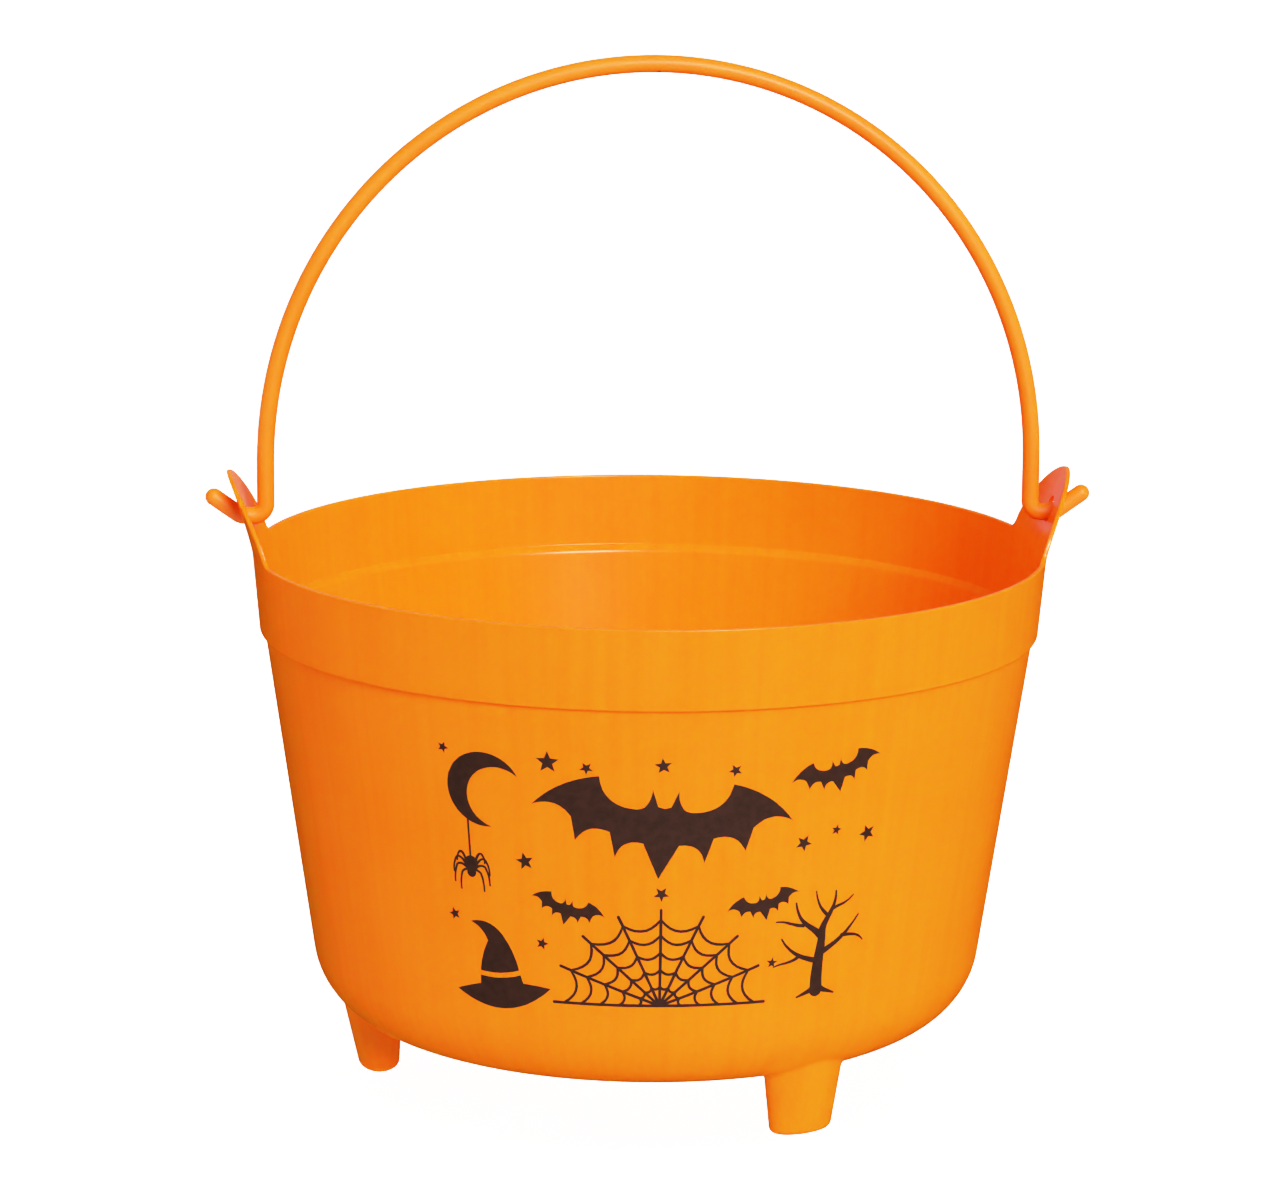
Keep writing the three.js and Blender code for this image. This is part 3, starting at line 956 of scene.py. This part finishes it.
def orange_plastic(name, deep, bright, streaks, roughness, specular, glow):
    """Moulded orange polypropylene: a little translucent, with flow streaks, a fine grain and uneven gloss.
    Streaks is their share in the colour, and glow is how much light goes through the plastic."""
    n = Nodes(name)
    at = n.position()
    x, y, z = n.add("SeparateXYZ", Vector=at).outputs
    around = n.math("MULTIPLY", n.math("ARCTAN2", y, x), STREAK_RADIUS)
    along_flow = n.add("CombineXYZ", X=around, Y=n.math("MULTIPLY", z, STREAK_THINNESS))
    streak = n.noise(along_flow.outputs[0], STREAK_SCALE, 3.0, 0.6)
    cloud = n.noise(at, CLOUD_SCALE, 2.0)
    grain = n.noise(at, GRAIN_SCALE, 1.0)
    tone = n.math("ADD", n.math("MULTIPLY", streak, streaks), n.math("MULTIPLY", cloud, 1 - streaks))
    colour = n.mix(n.ramp(tone, 0.3, 0.7), deep, bright)
    # Painted shade: a darker spot at the gate, standing for the shade of a small pit that is not modelled
    from_gate = n.add("VectorMath", {"operation": "DISTANCE"}, _0=at, _1=GATE_PLACE).outputs["Value"]
    painted_pit_shade = n.ramp(from_gate, PAINTED_PIT_SHADE_RADIUS, PAINTED_PIT_SHADE_RADIUS / 2)
    n.set(n.shader, "Base Color", n.mix(painted_pit_shade, colour, PAINTED_PIT_SHADE_COLOUR))
    fine = n.math("ADD", n.math("MULTIPLY", grain, 0.05), n.math("MULTIPLY", cloud, 0.10))
    n.set(n.shader, "Roughness", n.math("ADD", fine, roughness))
    n.set(n.shader, "IOR", 1.45)
    n.set(n.shader, "Specular IOR Level", specular)
    n.set(n.shader, "Subsurface Weight", glow)
    n.set(n.shader, "Subsurface Radius", GLOW_SHARES)
    n.set(n.shader, "Subsurface Scale", GLOW_REACH)
    relief = n.math("ADD", n.math("MULTIPLY", grain, 0.35), n.math("MULTIPLY", streak, 0.65))
    bump = n.add("Bump", Height=relief, Strength=0.35, Distance=0.00004)
    n.set(n.shader, "Normal", bump.outputs[0])
    return n.material


def ink():
    """Screen-printed ink: brown-black, nearly matt, and a little thin in places."""
    n = Nodes("dark_ink")
    at = n.position()
    patch = n.noise(at, 0.5, 3.0, 0.6)
    speck = n.noise(at, 4.0, 1.0)
    colour = n.mix(n.ramp(patch, 0.35, 0.75), (0.020, 0.0065, 0.003, 1), (0.032, 0.0095, 0.005, 1))
    n.set(n.shader, "Base Color", colour)
    n.set(n.shader, "Specular IOR Level", 0.2)
    n.set(n.shader, "Roughness", n.ramp(speck, 0.2, 0.8, 0.42, 0.6))
    bump = n.add("Bump", Height=speck, Strength=0.3, Distance=0.00002)
    n.set(n.shader, "Normal", bump.outputs[0])
    return n.material


def floor_surface():
    """A plain pale floor. Its underside lets the view through, so that the object shows from below."""
    n = Nodes("pale_floor")
    speck = n.noise(n.position(), 0.02, 2.0)
    n.set(n.shader, "Base Color", n.mix(speck, (0.47, 0.47, 0.47, 1), (0.50, 0.50, 0.50, 1)))
    n.set(n.shader, "Roughness", 0.8)
    n.set(n.shader, "Specular IOR Level", 0.2)
    clear = n.add("BsdfTransparent")
    either = n.add("MixShader")
    n.set(either, "Fac", n.add("NewGeometry").outputs["Backfacing"])
    n.set(either, "_1", n.shader.outputs[0])
    n.set(either, "_2", clear.outputs[0])
    output = n.tree.nodes["Material Output"]
    n.set(output, "Surface", either.outputs[0])
    return n.material


def dress(piece, material, body):
    piece.data.materials.append(material)
    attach(piece, body)


def dress_moulding(piece, material, body, node):
    """Dresses a moulding, which stands for a solid of the model."""
    piece.modifiers.new("even_normals", "WEIGHTED_NORMAL")
    dress(piece, material, body)
    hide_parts(node)


# Camera, found by fitting the rim, the band, the floor and the bail to the photograph. Its place is in metres
PHOTO_WIDTH = 1280
CAMERA_PLACE = (-0.095788, -1.272982, 0.390006)
CAMERA_YAW = math.radians(-4.2)
CAMERA_PITCH = math.radians(11.7691)
CAMERA_ROLL = math.radians(0.5276)
FOCAL_PIXELS = 5158.9
SENSOR = 36.0


def camera():
    data = bpy.data.cameras.new("photo_camera")
    data.sensor_width = SENSOR
    data.lens = FOCAL_PIXELS * SENSOR / PHOTO_WIDTH
    data.clip_start, data.clip_end = 0.05, 60
    made = bpy.data.objects.new("photo_camera", data)
    bpy.context.scene.collection.objects.link(made)
    turn = Matrix.Rotation(CAMERA_YAW, 4, "Z") @ Matrix.Rotation(math.pi / 2 - CAMERA_PITCH, 4, "X")
    made.matrix_world = Matrix.Translation(CAMERA_PLACE) @ turn @ Matrix.Rotation(CAMERA_ROLL, 4, "Z")
    bpy.context.scene.camera = made


STUDIO_FLOOR_HALF_WIDTH = 9000


def studio_floor():
    """A wide plane, cut away under the soles where nobody sees it, so that they take light from below."""
    around = np.linspace(0, 2 * math.pi, 33)[:-1]
    sole = [0.9 * (FOOT_HALF_WIDTH - FOOT_EDGE), 0.9 * (FOOT_HALF_LENGTH - FOOT_EDGE)]
    loops = [np.array([[-1, -1], [1, -1], [1, 1], [-1, 1]]) * STUDIO_FLOOR_HALF_WIDTH]
    for degrees in FOOT_ANGLES:
        oval = np.stack([FOOT_CIRCLE + sole[0] * np.cos(around), sole[1] * np.sin(around)], -1)
        loops += placed([oval], 0, 0, 1, degrees)
    starts = np.cumsum([0] + [len(loop) for loop in loops])
    regions = [list(range(first, end)) for first, end in zip(starts, starts[1:])]
    borders = [pair for region in regions for pair in zip(region, region[1:] + region[:1])]
    points, _, triangles, _, _, sources = delaunay_2d_cdt(
        [Vector(p) for p in np.concatenate(loops).tolist()], borders, regions, 0, 1e-4
    )
    kept = [triangle for triangle, source in zip(triangles, sources) if source == [0]]
    mesh = bpy.data.meshes.new("studio_floor")
    mesh.from_pydata([(p.x * METRES, p.y * METRES, 0) for p in points], [], kept)
    made = bpy.data.objects.new("studio_floor", mesh)
    made.data.materials.append(floor_surface())
    bpy.context.scene.collection.objects.link(made)
    made.visible_glossy = False
    made.visible_diffuse = False
    return made


def towards(azimuth, elevation):
    """The direction of a place seen from the pot. Azimuth 0 is the front, and 90 the right."""
    a, e = math.radians(azimuth), math.radians(elevation)
    return Vector((math.sin(a) * math.cos(e), -math.cos(a) * math.cos(e), math.sin(e)))


def soft_light(name, azimuth, elevation, strength, spread):
    """A far, wide studio light, which lights the object evenly. Spread is how wide it looks, in degrees."""
    data = bpy.data.lights.new(name, "SUN")
    data.energy = strength
    data.angle = math.radians(spread)
    made = bpy.data.objects.new(name, data)
    made.rotation_mode = "QUATERNION"
    made.rotation_quaternion = (-towards(azimuth, elevation)).to_track_quat("-Z", "Y")
    bpy.context.scene.collection.objects.link(made)
    return made


def lights(ground):
    """The key lamp leaves the floor out, and a lamp of its own makes it white. The fills give no gloss."""
    key = soft_light("key_light", 17, 27, 6.7, 24)
    everything_else = bpy.data.collections.new("not_for_key")
    everything_else.objects.link(ground)
    everything_else.collection_objects[0].light_linking.link_state = "EXCLUDE"
    key.light_linking.receiver_collection = everything_else
    backdrop = soft_light("backdrop_glow", 180, 14, 0.24, 54)
    backdrop.visible_diffuse = False
    floor_light = soft_light("floor_light", 0, 89, 20, 60)
    floor_light.data.use_shadow = False
    fills = [
        soft_light("floor_bounce", 0, -89, 2.9, 150),
        soft_light("fill_above", 0, 84, 0.6, 30),
        soft_light("fill_left", -100, -17, 1.6, 32),
        soft_light("fill_back_left", -140, -8, 3.8, 50),
        soft_light("fill_back_right", 150, -8, 2.8, 50),
    ]
    for fill in fills:
        fill.visible_glossy = False
    floor_light.light_linking.receiver_collection = bpy.data.collections.new("lit_floor")
    floor_light.light_linking.receiver_collection.objects.link(ground)
    world = bpy.data.worlds.new("studio")
    world.use_nodes = True
    background = world.node_tree.nodes["Background"]
    background.inputs["Color"].default_value = (1, 1, 1, 1)
    background.inputs["Strength"].default_value = 0.4
    bpy.context.scene.world = world
    world.cycles_visibility.glossy = False


# How the camera takes bright light: (brightness, shown brightness), even up to a knee and gentler above it
TONE_WHITE = 3.0
TONE_KNEE = ((0.6, 0.6), (0.84, 0.79), (1.2, 0.86), (2.0, 0.915))


def tone_curve():
    settings = bpy.context.scene.view_settings
    settings.view_transform = "Standard"
    settings.use_curve_mapping = True
    mapping = settings.curve_mapping
    mapping.white_level = (TONE_WHITE, TONE_WHITE, TONE_WHITE)
    for brightness, shown in TONE_KNEE:
        mapping.curves[3].points.new(brightness / TONE_WHITE, shown)
    for point in mapping.curves[3].points:
        point.handle_type = "VECTOR"
    mapping.update()


# The plastics' colours where they are deepest and brightest
POT_DEEP, POT_BRIGHT = (0.88, 0.142, 0.0028, 1), (0.90, 0.165, 0.004, 1)
BAIL_DEEP, BAIL_BRIGHT = (0.88, 0.142, 0.0028, 1), (0.90, 0.163, 0.004, 1)

pot_plastic = orange_plastic(
    "pot_polypropylene", POT_DEEP, POT_BRIGHT, streaks=0.6, roughness=0.14, specular=0.18, glow=0.75
)
bail_plastic = orange_plastic(
    "bail_polypropylene", BAIL_DEEP, BAIL_BRIGHT, streaks=0.0, roughness=0.38, specular=0.25, glow=0.4
)
dress_moulding(pot(), pot_plastic, "pot", "cauldron_pot")
dress_moulding(bail(), bail_plastic, "bail", "bail_handle")
dark_ink = ink()
noise.seed_set(INK_WOBBLE_SEED)
for motif, outlines in printed_motifs():
    dress(ink_film(motif, outlines), dark_ink, "pot")

camera()
lights(studio_floor())
tone_curve()
